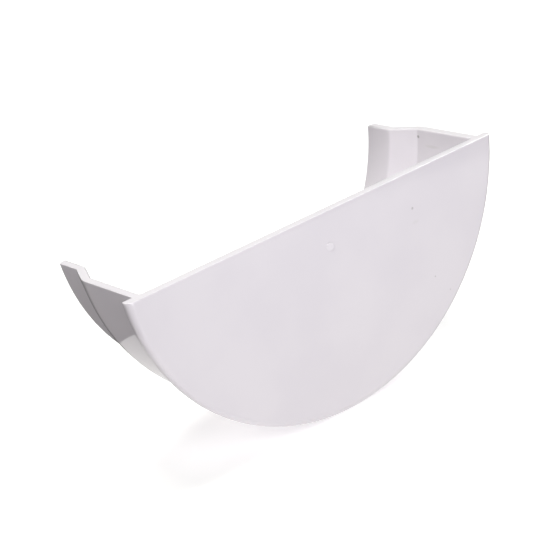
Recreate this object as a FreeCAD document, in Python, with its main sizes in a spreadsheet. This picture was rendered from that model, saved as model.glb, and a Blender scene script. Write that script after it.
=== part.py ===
import FreeCAD, Part
import os
import Sketcher

# Internal stop end for half-round plastic gutter, one moulding.
# Frame: X across the gutter, Y along it and into the fitting, Z up.
# Origin: middle of the rim line, in the plane where the fitting butts against the flange.

# Driving dimensions in millimetres: name, value, meaning
DIMENSIONS = (
    ("gutter_width", 112.0, "outside width of the half-round barrel, rim to rim"),
    ("gutter_depth", 50.1, "outside depth of the half-round barrel below its rims"),
    ("wall_thickness", 2.2, "wall of barrel, shoulder and spigot"),
    ("plate_thickness", 2.6, "end plate"),
    ("flange_overhang", 2.9, "rim of the end plate proud of the barrel"),
    ("barrel_length", 20.6, "straight wall behind the end plate"),
    ("shoulder_length", 7.6, "length over which the wall steps inwards"),
    ("shoulder_step", 3.4, "how far the wall steps inwards"),
    ("spigot_length", 7.9, "reduced wall behind the shoulder"),
    ("lead_in", 0.6, "chamfer round the outside of the spigot's end"),
    ("front_edge_radius", 1.6, "round along the front of the end plate's curved edge"),
    ("root_radius", 0.8, "inside corner between end plate and barrel"),
    ("bend_radius", 4.0, "outside bend where the barrel turns into the shoulder"),
    ("crease_radius", 0.5, "sharper creases on the hollow side of the shoulder's bends"),
    ("throat_radius", 2.4, "soft inside crease where the shoulder runs into the spigot"),
    ("rim_edge_radius", 0.2, "broken edge along the front of the rim"),
    ("rim_inner_radius", 0.7, "soft inner edge of the rim, along plate and walls"),
    ("gate_diameter", 2.2, "stub left by the moulding gate on the end plate"),
    ("gate_height", 0.4, "stub proud of the end plate"),
    ("gate_round", 0.3, "worn edge of the stub"),
    ("gate_drop", 9.0, "stub below the rim"),
    ("cut_clearance", 5.0, "how far the rim cut reaches past the moulding"),
)

# Sizes that follow from the driving ones: name, formula, meaning
DERIVED = (
    ("wall_radius", "=gutter_width ^ 2 / (8 * gutter_depth) + gutter_depth / 2", "outside of the barrel"),
    ("axis_height", "=wall_radius - gutter_depth", "gutter axis above the rim"),
    ("flange_radius", "=wall_radius + flange_overhang", "edge of the end plate"),
    ("overall_length", "=barrel_length + shoulder_length + spigot_length", "walls behind the end plate"),
    ("cut_width", "=2 * (flange_radius + cut_clearance)", "rim cut, across the gutter"),
    ("cut_front", "=plate_thickness + cut_clearance", "rim cut, forward of the flange's back"),
    ("cut_back", "=overall_length + cut_clearance", "rim cut, behind the flange's back"),
    ("gate_length", "=plate_thickness + gate_height", "stub from the plate's back to its tip"),
    ("front_round", "=min(front_edge_radius; plate_thickness - rim_edge_radius)", "kept within the plate"),
    ("gate_wear", "=min(gate_round; 0.9 * gate_height)", "kept within the stub"),
)

# Places on a sketched line or circle, and the sketch's own origin and axes
START, END, CENTRE = range(1, 4)
SKETCH_X, SKETCH_Y = range(-1, -3, -1)
SKETCH_ORIGIN = (SKETCH_X, START)
TOUCH = 1e-6

doc = FreeCAD.newDocument("GutterEndCap")


def make_sheet():
    sheet = doc.addObject("Spreadsheet::Sheet", "Sizes")
    for row, (alias, content, meaning) in enumerate(DIMENSIONS + DERIVED, start=1):
        sheet.set(f"A{row}", alias)
        sheet.set(f"B{row}", str(content))
        sheet.setAlias(f"B{row}", alias)
        sheet.set(f"C{row}", meaning)
        doc.recompute()
    return sheet


sizes = make_sheet()


def make_sketch(body, name, role):
    sketch = body.newObject("Sketcher::SketchObject", name)
    plane = next(feature for feature in body.Origin.OriginFeatures if feature.Role == role)
    sketch.AttachmentSupport = [(plane, "")]
    sketch.MapMode = "FlatFace"
    return sketch


def constrain(sketch, kind, *arguments):
    return sketch.addConstraint(Sketcher.Constraint(kind, *arguments))


def dimension(sketch, name, alias, kind, *arguments):
    sketch.renameConstraint(constrain(sketch, kind, *arguments, sizes.get(alias)), name)
    sketch.setExpression("Constraints." + name, "Sizes." + alias)


def draw_outline(sketch, corners):
    points = [FreeCAD.Vector(x, y, 0) for x, y in corners]
    for start, end in zip(points, points[1:] + points[:1]):
        sketch.addGeometry(Part.LineSegment(start, end), False)
    for line in range(len(points)):
        constrain(sketch, "Coincident", line, END, (line + 1) % len(points), START)
    return range(len(points))


# Half section through the bottom of the gutter: end plate, overhanging flange, barrel, the shoulder
# that steps inwards and the spigot. The sketch's first axis is the gutter axis, so levels are radii.
def draw_wall_section(body):
    sketch = make_sketch(body, "WallSection", "YZ_Plane")
    sketch.setExpression("AttachmentOffset.Base.y", "Sizes.axis_height")
    front_level = -sizes.plate_thickness
    spigot_start = sizes.barrel_length + sizes.shoulder_length
    spigot_radius = sizes.wall_radius - sizes.shoulder_step
    barrel_bore = sizes.wall_radius - sizes.wall_thickness
    spigot_bore = spigot_radius - sizes.wall_thickness
    (front, flange_edge, flange_back, barrel, shoulder, spigot, lead_in, mouth,
     spigot_inside, shoulder_inside, barrel_inside, plate_back, on_axis) = draw_outline(sketch, (
         (front_level, 0),
         (front_level, -sizes.flange_radius),
         (0, -sizes.flange_radius),
         (0, -sizes.wall_radius),
         (sizes.barrel_length, -sizes.wall_radius),
         (spigot_start, -spigot_radius),
         (sizes.overall_length - sizes.lead_in, -spigot_radius),
         (sizes.overall_length, sizes.lead_in - spigot_radius),
         (sizes.overall_length, -spigot_bore),
         (spigot_start, -spigot_bore),
         (sizes.barrel_length, -barrel_bore),
         (0, -barrel_bore),
         (0, 0)))
    for line in (front, flange_back, mouth, plate_back):
        constrain(sketch, "Vertical", line)
    for line in (flange_edge, barrel, spigot, spigot_inside, barrel_inside, on_axis):
        constrain(sketch, "Horizontal", line)
    constrain(sketch, "Parallel", shoulder_inside, shoulder)
    constrain(sketch, "PointOnObject", flange_back, START, SKETCH_Y)
    constrain(sketch, "PointOnObject", plate_back, START, SKETCH_Y)
    constrain(sketch, "PointOnObject", on_axis, START, SKETCH_X)

    dimension(sketch, "Plate", "plate_thickness", "DistanceX", front, START, *SKETCH_ORIGIN)
    dimension(sketch, "FlangeRadius", "flange_radius", "DistanceY", flange_back, START, *SKETCH_ORIGIN)
    dimension(sketch, "WallRadius", "wall_radius", "DistanceY", barrel, START, *SKETCH_ORIGIN)
    dimension(sketch, "BarrelLength", "barrel_length", "DistanceX", *SKETCH_ORIGIN, barrel, END)
    dimension(sketch, "ShoulderLength", "shoulder_length", "DistanceX", shoulder, START, shoulder, END)
    dimension(sketch, "ShoulderStep", "shoulder_step", "DistanceY", shoulder, START, shoulder, END)
    dimension(sketch, "SpigotLength", "spigot_length", "DistanceX", spigot, START, lead_in, END)
    dimension(sketch, "LeadInAlong", "lead_in", "DistanceX", lead_in, START, lead_in, END)
    dimension(sketch, "LeadInDeep", "lead_in", "DistanceY", lead_in, START, lead_in, END)
    dimension(sketch, "BarrelWall", "wall_thickness", "DistanceY", barrel, START, barrel_inside, END)
    dimension(sketch, "SpigotWall", "wall_thickness", "DistanceY", spigot, START, spigot_inside, START)
    dimension(sketch, "ShoulderWall", "wall_thickness", "Distance", shoulder_inside, START, shoulder)
    doc.recompute()

    # each corner keeps its point, so the lengths above still run from corner to corner
    for name, line, radius in (
            ("FrontEdge", front, "front_round"),
            ("ShoulderStart", barrel, "bend_radius"),
            ("ShoulderEnd", shoulder, "crease_radius"),
            ("Throat", spigot_inside, "throat_radius"),
            ("InnerCrease", shoulder_inside, "crease_radius"),
            ("Root", barrel_inside, "root_radius")):
        arc = sketch.GeometryCount
        sketch.fillet(line, END, sizes.get(radius), True, True)
        dimension(sketch, name + "Radius", radius, "Radius", arc)
    doc.recompute()
    return sketch


# The section turned once about the gutter axis makes a stepped cup. A symmetric turn starts and ends
# at the top, in the part that the rim cut takes away.
def turn_cup(body, section):
    cup = body.newObject("PartDesign::Revolution", "Cup")
    cup.Profile = section
    cup.ReferenceAxis = (section, ["H_Axis"])
    cup.Angle = 360
    cup.Midplane = True
    doc.recompute()
    return cup


# Everything above the rim plane comes off, so that plate and walls end flush.
def cut_rim(body, cup):
    sketch = make_sketch(body, "RimOutline", "XY_Plane")
    reach = sizes.cut_width / 2
    front, right, back, left = draw_outline(sketch, (
        (-reach, -sizes.cut_front),
        (reach, -sizes.cut_front),
        (reach, sizes.cut_back),
        (-reach, sizes.cut_back)))
    for line in (right, left):
        constrain(sketch, "Vertical", line)
    constrain(sketch, "Horizontal", back)
    constrain(sketch, "Symmetric", front, START, front, END, SKETCH_Y)
    dimension(sketch, "Across", "cut_width", "DistanceX", front, START, front, END)
    dimension(sketch, "ToFront", "cut_front", "DistanceY", front, START, *SKETCH_ORIGIN)
    dimension(sketch, "ToBack", "cut_back", "DistanceY", *SKETCH_ORIGIN, back, START)
    cut = body.newObject("PartDesign::Pocket", "RimCut")
    cut.Profile = sketch
    cut.Type = "ThroughAll"
    cut.Reversed = True
    doc.recompute()
    if cut.Shape.Volume >= cup.Shape.Volume or cut.Shape.BoundBox.ZMin > cup.Shape.BoundBox.ZMin / 2:
        raise RuntimeError("the rim cut took away the wrong side")
    return cut


# Stub of the moulding gate on the middle line of the plate, from the plate's back to proud of its front.
def add_gate_stub(body):
    sketch = make_sketch(body, "GateCircle", "XZ_Plane")
    centre = FreeCAD.Vector(0, -sizes.gate_drop, 0)
    normal = FreeCAD.Vector(0, 0, 1)
    circle = sketch.addGeometry(Part.Circle(centre, normal, sizes.gate_diameter / 2), False)
    constrain(sketch, "PointOnObject", circle, CENTRE, SKETCH_Y)
    dimension(sketch, "Diameter", "gate_diameter", "Diameter", circle)
    dimension(sketch, "Drop", "gate_drop", "DistanceY", circle, CENTRE, *SKETCH_ORIGIN)
    stub = body.newObject("PartDesign::Pad", "GateStub")
    stub.Profile = sketch
    stub.setExpression("Length", "Sizes.gate_length")
    doc.recompute()
    return stub


def round_edges(body, base, name, radius, wanted):
    edges = [number for number, edge in enumerate(base.Shape.Edges, start=1) if wanted(edge.BoundBox)]
    rounds = body.newObject("PartDesign::Fillet", name)
    rounds.Base = (base, [f"Edge{number}" for number in edges])
    rounds.setExpression("Radius", "Sizes." + radius)
    doc.recompute()
    return rounds


def check_and_export(body):
    failed = [item.Name for item in doc.Objects if "Invalid" in item.State or "Error" in item.State]
    if failed:
        raise RuntimeError("failed objects: " + ", ".join(failed))
    if body.Shape.isNull() or not body.Shape.isValid() or len(body.Shape.Solids) != 1:
        raise RuntimeError(body.Label + " is not one valid solid")
    os.makedirs("parts", exist_ok=True)
    body.Shape.exportStep(f"parts/{body.Label}.step")
    print(f"{body.Label}: {body.Shape.Volume:.1f} cubic mm, {len(body.Shape.Faces)} faces")


end_cap = doc.addObject("PartDesign::Body", "EndCap")
end_cap.Label = "end_cap"
end_cap.Placement = FreeCAD.Placement()

cup = turn_cup(end_cap, draw_wall_section(end_cap))
cut_rim(end_cap, cup)
stub = add_gate_stub(end_cap)
worn_stub = round_edges(end_cap, stub, "GateWear", "gate_wear",
                        lambda box: box.YMax < TOUCH - sizes.gate_length)
rim = round_edges(end_cap, worn_stub, "RimEdge", "rim_edge_radius",
                  lambda box: box.ZMin > -TOUCH and box.YMax < TOUCH and box.YMin < -TOUCH)
round_edges(end_cap, rim, "RimInside", "rim_inner_radius",
            lambda box: box.ZMin > -TOUCH and abs(box.YMax) < TOUCH and box.XLength > sizes.gutter_depth)
check_and_export(end_cap)
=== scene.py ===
import bmesh
import bpy
import math
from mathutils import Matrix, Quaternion, Vector


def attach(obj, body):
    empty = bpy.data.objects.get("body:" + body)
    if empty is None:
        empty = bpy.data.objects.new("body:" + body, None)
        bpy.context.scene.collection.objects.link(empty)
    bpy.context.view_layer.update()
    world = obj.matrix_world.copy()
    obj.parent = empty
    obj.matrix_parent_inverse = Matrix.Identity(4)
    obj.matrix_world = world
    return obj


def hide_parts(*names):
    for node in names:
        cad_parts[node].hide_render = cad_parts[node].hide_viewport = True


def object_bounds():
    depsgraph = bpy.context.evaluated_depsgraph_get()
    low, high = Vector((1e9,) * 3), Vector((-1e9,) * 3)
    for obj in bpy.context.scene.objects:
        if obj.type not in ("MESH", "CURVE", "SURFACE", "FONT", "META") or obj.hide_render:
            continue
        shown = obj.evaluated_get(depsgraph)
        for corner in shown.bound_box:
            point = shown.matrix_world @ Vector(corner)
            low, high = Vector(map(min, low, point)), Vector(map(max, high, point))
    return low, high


# Gutter end cap: one white uPVC moulding, rebuilt as a clean mesh over its CAD solid.
# Metres, in the frame of the CAD: X across the gutter, +Y from the end plate to the spigot, Z up.

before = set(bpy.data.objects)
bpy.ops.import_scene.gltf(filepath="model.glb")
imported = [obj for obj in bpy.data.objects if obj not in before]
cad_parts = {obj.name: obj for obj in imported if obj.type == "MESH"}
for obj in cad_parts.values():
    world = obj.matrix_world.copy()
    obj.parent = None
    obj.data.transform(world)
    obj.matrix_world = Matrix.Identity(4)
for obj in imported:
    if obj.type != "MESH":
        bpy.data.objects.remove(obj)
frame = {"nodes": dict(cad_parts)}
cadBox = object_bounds()
print("frame loaded:", ", ".join(frame["nodes"]))

mm = 0.001


# the moulding
endCap = {
    "name": "end_cap_moulding",
    "gutterWidth": 112.0 * mm,  # outside of the barrel, rim to rim
    "gutterDepth": 50.1 * mm,  # outside of the barrel, below the rims
    "wall": 2.2 * mm,
    "plate": 2.6 * mm,
    "overhang": 2.9 * mm,  # flange proud of the barrel
    "barrel": 20.6 * mm,
    "shoulder": 7.6 * mm,  # length of the step
    "step": 3.4 * mm,  # height of the step
    "spigot": 7.9 * mm,
    "leadIn": 0.6 * mm,
    "frontRound": 1.6 * mm,
    "rootRound": 0.8 * mm,
    "bendRound": 7.0 * mm,  # outside, where the barrel turns into the step
    "creaseRound": 0.5 * mm,  # hollow side of both bends of the step
    "throatRound": 2.4 * mm,  # inside, where the step turns into the spigot
    "flangeRoot": 0.2 * mm,  # bead in the corner under the flange
    "rimRound": 0.2 * mm,  # front and outer edges of the rim
    "rimInner": 0.45 * mm,  # soft inner edge of the rim
    "edgeEase": 0.4 * mm,  # back of the flange
    "leadInEase": 0.15 * mm,  # both edges of the lead-in
    "ringPoints": 360,
    "frontSteps": 10,  # segments across each round
    "bendSteps": 8,
    "softSteps": 5,
    "easeSteps": 3,
    "creaseSteps": 2,
    "rimBand": 1.2 * mm,  # strip below the rim that is kept free of ring points
}
near = 1e-6  # metres, for picking edges by their place
nearRadius = 1e-5
steepFace = 0.5  # a face whose normal rises less than this stands up
normalWeight = 80  # how far large faces lead the shading
roundProfile = 0.5  # plain circular rounds

wallRadius = endCap["gutterWidth"] ** 2 / (8 * endCap["gutterDepth"]) + endCap["gutterDepth"] / 2
axisHeight = wallRadius - endCap["gutterDepth"]
flangeRadius = wallRadius + endCap["overhang"]
spigotRadius = wallRadius - endCap["step"]
barrelBore = wallRadius - endCap["wall"]
spigotBore = spigotRadius - endCap["wall"]
spigotStart = endCap["barrel"] + endCap["shoulder"]
mouth = spigotStart + endCap["spigot"]
plateFront = -endCap["plate"]
halfTurn = math.tan(math.atan2(endCap["step"], endCap["shoulder"]) / 2)
innerShift = endCap["wall"] * halfTurn  # the inside of the step sits this much nearer the plate


def onlyThis(obj):
    bpy.ops.object.select_all(action="DESELECT")
    obj.select_set(True)
    bpy.context.view_layer.objects.active = obj


def axisRadius(point):
    return math.hypot(point.x, point.z - axisHeight)


def turnOf(point):
    return math.atan2(point.x, axisHeight - point.z)


def pickEdges(wanted):
    bpy.ops.mesh.select_mode(type="EDGE")
    bpy.ops.mesh.select_all(action="DESELECT")
    mesh = bmesh.from_edit_mesh(bpy.context.object.data)
    picked = [edge for edge in mesh.edges if wanted(edge)]
    for edge in picked:
        edge.select_set(True)
    bmesh.update_edit_mesh(bpy.context.object.data)
    return len(picked)


def onRim(edge):
    return all(abs(v.co.z) < near for v in edge.verts)


def sharpRim(edge):
    return onRim(edge) and min(abs(face.normal.z) for face in edge.link_faces) < steepFace


def innerRim(edge):
    middle = (edge.verts[0].co + edge.verts[1].co) / 2
    plateBack = abs(middle.y) < near and abs(middle.x) < barrelBore
    wallInside = any(face.normal.x * middle.x < -near for face in edge.link_faces)
    return sharpRim(edge) and (plateBack or wallInside)


def onRing(along, radius):
    def wanted(edge):
        return all(abs(v.co.y - along) < near and abs(axisRadius(v.co) - radius) < nearRadius
                   for v in edge.verts)
    return wanted


def insideRimBand(edge):
    first, last = edge.verts
    alongGutter = abs(turnOf(first.co) - turnOf(last.co)) < near / wallRadius
    inBand = all(-near - endCap["rimBand"] < v.co.z < near for v in edge.verts)
    onCut = any(abs(first.co.z - level) + abs(last.co.z - level) < near
                for level in (0, -endCap["rimBand"]))
    return alongGutter and inBand and not onCut


def pullOut(toY, toRadius=None, fromRadius=None):
    mesh = bmesh.from_edit_mesh(bpy.context.object.data)
    fromY = max(v.co.y for v in mesh.verts if v.select)
    bpy.ops.mesh.extrude_region_move(TRANSFORM_OT_translate={"value": (0, toY - fromY, 0)})
    if toRadius:
        grow = toRadius / fromRadius
        bpy.ops.transform.resize(value=(grow, 1, grow), center_override=(0, toY, axisHeight))


def roundEdges(wanted, width, steps):
    count = pickEdges(wanted)
    bpy.ops.mesh.bevel(offset=width, segments=steps, profile=roundProfile, clamp_overlap=False)
    return count


def roundRing(along, radius, width, steps):
    return roundEdges(onRing(along, radius), width, steps)


def applyModifier(obj, kind, **settings):
    modifier = obj.modifiers.new(kind.title(), kind)
    for key, value in settings.items():
        setattr(modifier, key, value)
    onlyThis(obj)
    bpy.ops.object.modifier_apply(modifier=modifier.name)


def makeMoulding():
    bpy.ops.object.select_all(action="DESELECT")
    bpy.ops.mesh.primitive_circle_add(vertices=endCap["ringPoints"], radius=flangeRadius, fill_type="NGON",
                                      location=(0, plateFront, axisHeight),
                                      rotation=(math.pi / 2, 0, 0))
    moulding = bpy.context.object
    moulding.name = endCap["name"]
    bpy.ops.object.transform_apply(location=True, rotation=True, scale=True)

    # a turned cup first: plate, flange, barrel, step, spigot, and back inside to the plate
    bpy.ops.object.mode_set(mode="EDIT")
    bpy.ops.mesh.select_all(action="SELECT")
    pullOut(0)
    bpy.ops.mesh.inset(thickness=endCap["overhang"])
    pullOut(endCap["barrel"])
    pullOut(spigotStart, spigotRadius, wallRadius)
    pullOut(mouth - endCap["leadIn"])
    pullOut(mouth, spigotRadius - endCap["leadIn"], spigotRadius)
    bpy.ops.mesh.inset(thickness=endCap["wall"] - endCap["leadIn"])
    pullOut(spigotStart - innerShift)
    pullOut(endCap["barrel"] - innerShift, barrelBore, spigotBore)
    pullOut(0)
    bpy.ops.mesh.select_all(action="SELECT")
    bpy.ops.mesh.normals_make_consistent(inside=False)

    # rounds that run right round the cup
    bend, throat, crease = (endCap[name + "Round"] * halfTurn for name in ("bend", "throat", "crease"))
    soft, few = endCap["softSteps"], endCap["creaseSteps"]
    counts = [
        roundRing(plateFront, flangeRadius, endCap["frontRound"], endCap["frontSteps"]),
        roundRing(0, wallRadius, endCap["flangeRoot"], few),
        roundRing(endCap["barrel"], wallRadius, bend, endCap["bendSteps"]),
        roundRing(spigotStart, spigotRadius, crease, few),
        roundRing(spigotStart - innerShift, spigotBore, throat, soft),
        roundRing(endCap["barrel"] - innerShift, barrelBore, crease, few),
        roundRing(0, barrelBore, endCap["rootRound"], soft),
        roundRing(0, flangeRadius, endCap["edgeEase"], endCap["easeSteps"]),
        roundRing(mouth - endCap["leadIn"], spigotRadius, endCap["leadInEase"], few),
        roundRing(mouth, spigotRadius - endCap["leadIn"], endCap["leadInEase"], few),
    ]
    print("rings rounded:", counts)

    # cut along the rims, with a plain strip below the cut for the rim's own rounds
    bpy.ops.mesh.select_all(action="SELECT")
    bpy.ops.mesh.bisect(plane_co=(0, 0, -endCap["rimBand"]), plane_no=(0, 0, 1), threshold=near)
    bpy.ops.mesh.select_all(action="SELECT")
    bpy.ops.mesh.bisect(plane_co=(0, 0, 0), plane_no=(0, 0, 1), threshold=near, clear_outer=True)
    pickEdges(insideRimBand)
    bpy.ops.mesh.dissolve_edges(use_verts=True)
    pickEdges(onRim)
    bpy.ops.mesh.edge_face_add()
    bpy.ops.mesh.select_all(action="SELECT")
    bpy.ops.mesh.normals_make_consistent(inside=False)
    roundEdges(innerRim, endCap["rimInner"], endCap["softSteps"])
    roundEdges(sharpRim, endCap["rimRound"], endCap["easeSteps"])
    bpy.ops.object.mode_set(mode="OBJECT")
    print("moulding:", len(moulding.data.vertices), "points", len(moulding.data.polygons), "faces")
    return moulding


# stub that the moulding gate left on the plate's middle line
gateStub = {
    "diameter": 2.2 * mm,
    "height": 0.20 * mm,  # middle of the torn tip, proud of the plate
    "slant": 7.0,  # degrees, the tip is torn higher on the right
    "drop": 9.0 * mm,  # below the rim
    "sunk": 0.8 * mm,  # root inside the plate
    "tipRound": 0.04 * mm,
    "tipSteps": 2,
    "points": 48,
}


def addGateStub(moulding):
    tip = Vector((0, plateFront - gateStub["height"], -gateStub["drop"]))
    slant = math.radians(gateStub["slant"])
    bpy.ops.object.select_all(action="DESELECT")
    bpy.ops.mesh.primitive_circle_add(vertices=gateStub["points"], radius=gateStub["diameter"] / 2,
                                      fill_type="NGON", rotation=(math.pi / 2, 0, 0),
                                      location=(tip.x, plateFront + gateStub["sunk"], tip.z))
    stub = bpy.context.object
    bpy.ops.object.transform_apply(location=True, rotation=True, scale=True)
    bpy.ops.object.mode_set(mode="EDIT")
    bpy.ops.mesh.select_all(action="SELECT")
    pullOut(tip.y)
    bpy.ops.transform.rotate(value=slant, orient_axis="Z", center_override=tip)

    def onTip(edge):
        return all(abs(v.co.y - tip.y + v.co.x * math.tan(slant)) < near for v in edge.verts)

    tipEdges = roundEdges(onTip, gateStub["tipRound"], gateStub["tipSteps"])
    bpy.ops.mesh.select_all(action="SELECT")
    bpy.ops.mesh.normals_make_consistent(inside=False)
    bpy.ops.object.mode_set(mode="OBJECT")
    applyModifier(moulding, "BOOLEAN", operation="UNION", object=stub, solver="EXACT")
    bpy.data.objects.remove(stub)
    print("gate stub:", tipEdges, "tip edges")


# white uPVC: faintly lavender, glossy, with the unevenness of a moulded skin and a few dark specks
plastic = {
    "light": (0.865, 0.825, 0.880, 1),
    "deep": (0.835, 0.795, 0.855, 1),
    "speck": (0.20, 0.18, 0.18, 1),
    "smudge": (0.66, 0.64, 0.63, 1),
    "gloss": 0.06,  # roughness of the clean skin
    "dull": 0.11,  # roughness where it was handled
    "ior": 1.54,
    # noise patches: scale, detail, and the range of the noise that they are drawn from
    "deepPatches": (38.0, 3.0, 0.35, 0.65),
    "dullPatches": (70.0, 4.0, 0.45, 0.80),
    # relief of the skin: scale, detail and share of each noise
    "waves": (160.0, 2.0, 0.8),
    "grain": (900.0, 2.0, 0.2),
    "reliefStrength": 0.2,
    "reliefDepth": 0.03 * mm,
    "raggedScale": 2600.0,  # noise that keeps the specks from being perfect dots
    "raggedReach": 0.25 * mm,
    "speckCore": 0.4,  # share of the radius that is at full strength
    "smudgeCore": 0.3,
    # centre, radius and strength of each speck
    "specks": (
        ((28.0 * mm, plateFront, -9.5 * mm), 0.50 * mm, 0.35),
        ((32.1 * mm, plateFront, -30.0 * mm), 0.28 * mm, 0.35),
        ((36.6 * mm, plateFront, -35.5 * mm), 0.26 * mm, 0.35),
        ((53.5 * mm, 19.8 * mm, -2.1 * mm), 0.55 * mm, 0.50),
    ),
    # centre, half sizes and strength of each smudge
    "smudges": (
        ((28.3 * mm, plateFront, -13.4 * mm), (1.6 * mm, 2.0 * mm, 0.7 * mm), 0.16),
        ((53.1 * mm, 14.6 * mm, -4.2 * mm), (4.0 * mm, 3.4 * mm, 0.6 * mm), 0.30),
    ),
}


# inputs go by socket name, or as n0, n1 and so on by their place
def addNode(tree, kind, settings=None, **inputs):
    node = tree.nodes.new(kind)
    for key, value in (settings or {}).items():
        setattr(node, key, value)
    for key, value in inputs.items():
        socket = node.inputs[int(key[1:])] if key[0] == "n" and key[1:].isdigit() else node.inputs[key]
        if isinstance(value, bpy.types.NodeSocket):
            tree.links.new(value, socket)
        else:
            socket.default_value = value
    return node


def makePlastic():
    material = bpy.data.materials.new("white_upvc_skin")
    material.use_nodes = True
    tree = material.node_tree
    tree.nodes.clear()
    place = addNode(tree, "ShaderNodeTexCoord").outputs["Object"]

    def clouds(scale, detail):
        return addNode(tree, "ShaderNodeTexNoise", Vector=place, Scale=scale, Detail=detail).outputs[0]

    def arithmetic(operation, first, second):
        return addNode(tree, "ShaderNodeMath", {"operation": operation, "use_clamp": True},
                       n0=first, n1=second).outputs[0]

    def strongest(masks):
        most = masks[0]
        for mask in masks[1:]:
            most = arithmetic("MAXIMUM", most, mask)
        return most

    def onVectors(operation, *operands, output="Vector"):
        inputs = {f"n{order}": operand for order, operand in enumerate(operands)}
        return addNode(tree, "ShaderNodeVectorMath", {"operation": operation}, **inputs).outputs[output]

    def ramp(value, low, high, toLow=0.0, toHigh=1.0):
        return addNode(tree, "ShaderNodeMapRange", {"interpolation_type": "SMOOTHSTEP"}, n0=value, n1=low,
                       n2=high, n3=toLow, n4=toHigh).outputs[0]

    def patches(scale, detail, low, high):
        return ramp(clouds(scale, detail), low, high)

    def relief(scale, detail, share):
        return arithmetic("MULTIPLY", clouds(scale, detail), share)

    def tint(share, first, second):
        mix = addNode(tree, "ShaderNodeMix", {"data_type": "RGBA"}, n0=share, n6=first, n7=second)
        return mix.outputs[2]

    reach = plastic["raggedReach"]
    noise = addNode(tree, "ShaderNodeTexNoise", Vector=place, Scale=plastic["raggedScale"]).outputs["Color"]
    raggedPlace = onVectors("ADD", place, onVectors("MULTIPLY", noise, (reach,) * 3))
    specks = []
    for centre, radius, strength in plastic["specks"]:
        middle = Vector(centre) + Vector((reach,) * 3) / 2  # the noise moves every place by half its reach
        away = onVectors("DISTANCE", raggedPlace, middle, output="Value")
        specks.append(ramp(away, radius, plastic["speckCore"] * radius, 0.0, strength))
    smudges = []
    for centre, halfSizes, strength in plastic["smudges"]:
        away = onVectors("DIVIDE", onVectors("SUBTRACT", place, centre), halfSizes)
        far = onVectors("LENGTH", away, output="Value")
        smudges.append(ramp(far, 1.0, plastic["smudgeCore"], 0.0, strength))

    smudged = strongest(smudges)
    colour = tint(patches(*plastic["deepPatches"]), plastic["light"], plastic["deep"])
    colour = tint(smudged, colour, plastic["smudge"])
    colour = tint(strongest(specks), colour, plastic["speck"])
    handled = strongest([patches(*plastic["dullPatches"]), smudged])
    roughness = ramp(handled, 0.0, 1.0, plastic["gloss"], plastic["dull"])

    # the moulded skin is very slightly uneven, and finely grained
    height = arithmetic("ADD", relief(*plastic["waves"]), relief(*plastic["grain"]))
    bump = addNode(tree, "ShaderNodeBump", Strength=plastic["reliefStrength"],
                   Distance=plastic["reliefDepth"], Height=height).outputs[0]
    skin = addNode(tree, "ShaderNodeBsdfPrincipled", IOR=plastic["ior"], Roughness=roughness, Normal=bump)
    tree.links.new(colour, skin.inputs["Base Color"])
    out = addNode(tree, "ShaderNodeOutputMaterial")
    tree.links.new(skin.outputs[0], out.inputs[0])
    return material


moulding = makeMoulding()
addGateStub(moulding)
onlyThis(moulding)
bpy.ops.object.shade_smooth()
applyModifier(moulding, "WEIGHTED_NORMAL", keep_sharp=True, weight=normalWeight)
moulding.data.materials.append(makePlastic())
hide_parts("end_cap")
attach(moulding, "root")
print("moulding finished:", len(moulding.data.polygons), "faces")


def directionOf(azimuth, elevation):
    turn, rise = math.radians(azimuth), math.radians(elevation)
    return Vector((math.sin(turn) * math.cos(rise), -math.cos(turn) * math.cos(rise), math.sin(rise)))


# pale floor in a pale room; only the camera sees their white, and the lamps below do all the lighting
stage = {
    "floorSize": 4.0,
    "paper": (0.92, 0.92, 0.92, 1),
    "white": (1, 1, 1, 1),
    "paperGlow": 0.30,  # lifts the paper to the photograph's white
    "unlit": (0.0, 0.0, 0.0, 1),
    "roomSeen": 1.0,
    "clearance": 0.5 * mm,  # below the part, so that the panels on the floor lie clear of it
}
floorLevel = cadBox[0].z - stage["clearance"]


def makeFloor():
    bpy.ops.object.select_all(action="DESELECT")
    bpy.ops.mesh.primitive_plane_add(size=stage["floorSize"], location=(0, 0, floorLevel))
    floor = bpy.context.object
    floor.name = "floor"
    material = bpy.data.materials.new("floor_paper")
    material.use_nodes = True
    tree = material.node_tree
    tree.nodes.clear()
    paper = addNode(tree, "ShaderNodeBsdfDiffuse", Color=stage["paper"])
    glow = addNode(tree, "ShaderNodeEmission", Color=stage["white"], Strength=stage["paperGlow"])
    seen = addNode(tree, "ShaderNodeAddShader", n0=paper.outputs[0], n1=glow.outputs[0])
    unlit = addNode(tree, "ShaderNodeBsdfDiffuse", Color=stage["unlit"])
    toCamera = addNode(tree, "ShaderNodeLightPath").outputs["Is Camera Ray"]
    above = addNode(tree, "ShaderNodeMixShader", n0=toCamera, n1=unlit.outputs[0], n2=seen.outputs[0])
    clear = addNode(tree, "ShaderNodeBsdfTransparent")
    fromBelow = addNode(tree, "ShaderNodeNewGeometry").outputs["Backfacing"]
    both = addNode(tree, "ShaderNodeMixShader", n0=fromBelow, n1=above.outputs[0], n2=clear.outputs[0])
    addNode(tree, "ShaderNodeOutputMaterial", Surface=both.outputs[0])
    floor.data.materials.append(material)


def makeRoom():
    room = bpy.data.worlds.new("pale_room")
    room.use_nodes = True
    tree = room.node_tree
    tree.nodes.clear()
    seen = addNode(tree, "ShaderNodeBackground", Color=stage["white"], Strength=stage["roomSeen"])
    unlit = addNode(tree, "ShaderNodeBackground", Color=stage["unlit"])
    toCamera = addNode(tree, "ShaderNodeLightPath").outputs["Is Camera Ray"]
    both = addNode(tree, "ShaderNodeMixShader", n0=toCamera, n1=unlit.outputs[0], n2=seen.outputs[0])
    addNode(tree, "ShaderNodeOutputWorld", Surface=both.outputs[0])
    bpy.context.scene.world = room


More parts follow.
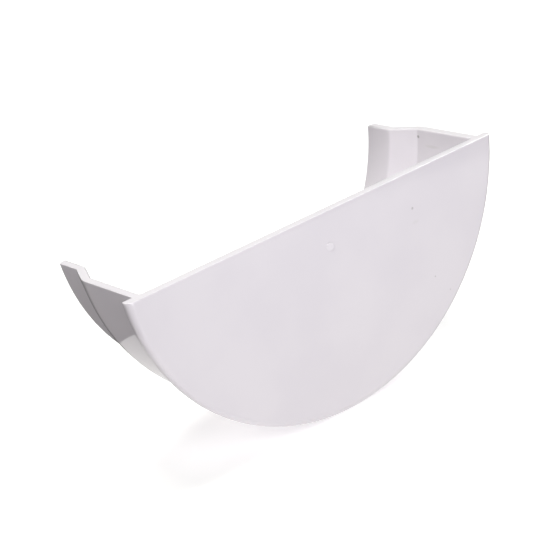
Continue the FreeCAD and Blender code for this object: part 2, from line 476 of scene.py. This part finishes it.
# square soft boxes round the part: degrees (0 is the front, 90 the right), metres, brightness and tint
softBoxes = {
    "front_left_box": {"azimuth": 330, "elevation": 35, "size": 0.53, "glow": 5.8,
                       "tint": (0.99, 1.00, 1.02)},
    "left_box": {"azimuth": 300, "elevation": 35, "size": 0.35, "glow": 11.8,
                 "tint": (1.03, 1.00, 0.95)},
    "left_top_box": {"azimuth": 300, "elevation": 60, "size": 0.35, "glow": 4.6,
                     "tint": (0.99, 1.00, 0.97)},
    "top_box": {"azimuth": 0, "elevation": 88, "size": 0.53, "glow": 7.9,
                "tint": (0.985, 1.01, 0.935)},
    "right_box": {"azimuth": 120, "elevation": 35, "size": 0.53, "glow": 9.75,
                  "tint": (0.985, 1.01, 0.955)},
    "back_box": {"azimuth": 180, "elevation": 10, "size": 0.53, "glow": 0.77,
                 "tint": (1.00, 1.00, 1.00)},
}
boxDistance = 1.2

# glowing panels laid on the floor, which stand for the light that a lit paper sheet gives back
panels = {
    "paper_panel": {"middle": (0.0378, -0.0226), "size": (0.260, 0.214), "turn": 14, "glow": 0.92,
                    "tint": (1.015, 1.00, 0.98)},
    "front_panel": {"middle": (0.0, -0.575), "size": (0.220, 0.850), "turn": 0, "glow": 3.48,
                    "tint": (1.00, 1.00, 1.035)},
}
panelLift = 0.1 * mm


def addLamp(name, place, turned, size, settings):
    bpy.ops.object.light_add(type="AREA", location=place, rotation=turned)
    lamp = bpy.context.object
    lamp.name = name
    lamp.visible_camera = False
    lamp.data.shape = "RECTANGLE"
    lamp.data.size, lamp.data.size_y = size
    lamp.data.energy = math.pi * size[0] * size[1] * settings["glow"]
    lamp.data.color = settings["tint"]


def makeLights():
    for name, box in softBoxes.items():
        outward = directionOf(box["azimuth"], box["elevation"])
        turned = (-outward).to_track_quat("-Z", "Y").to_euler()
        addLamp(name, outward * boxDistance, turned, (box["size"], box["size"]), box)
    for name, panel in panels.items():
        place = (*panel["middle"], floorLevel + panelLift)
        addLamp(name, place, (math.pi, 0, math.radians(panel["turn"])), panel["size"], panel)


# camera as the photograph was taken, in degrees
camera = {
    "azimuth": -35.640,
    "elevation": 21.919,
    "roll": -11.075,
    "distance": 407.71 * mm,
    "target": (-15.91 * mm, 0.0, -10.67 * mm),
    "lens": 111.42,  # millimetres, on a 36 mm wide sensor
    "sensor": 36.0,
    "nearClip": 10.0 * mm,
}


def makeCamera():
    back = directionOf(camera["azimuth"], camera["elevation"])
    bpy.ops.object.camera_add(location=Vector(camera["target"]) + back * camera["distance"])
    eye = bpy.context.object
    level = (-back).to_track_quat("-Z", "Y")
    eye.rotation_euler = (level @ Quaternion((0, 0, 1), math.radians(camera["roll"]))).to_euler()
    eye.data.sensor_width = camera["sensor"]
    eye.data.lens = camera["lens"]
    eye.data.clip_start = camera["nearClip"]
    bpy.context.scene.camera = eye


makeFloor()
makeRoom()
makeLights()
makeCamera()
bpy.context.scene.view_settings.view_transform = "Standard"
print("stage, lights and camera set")
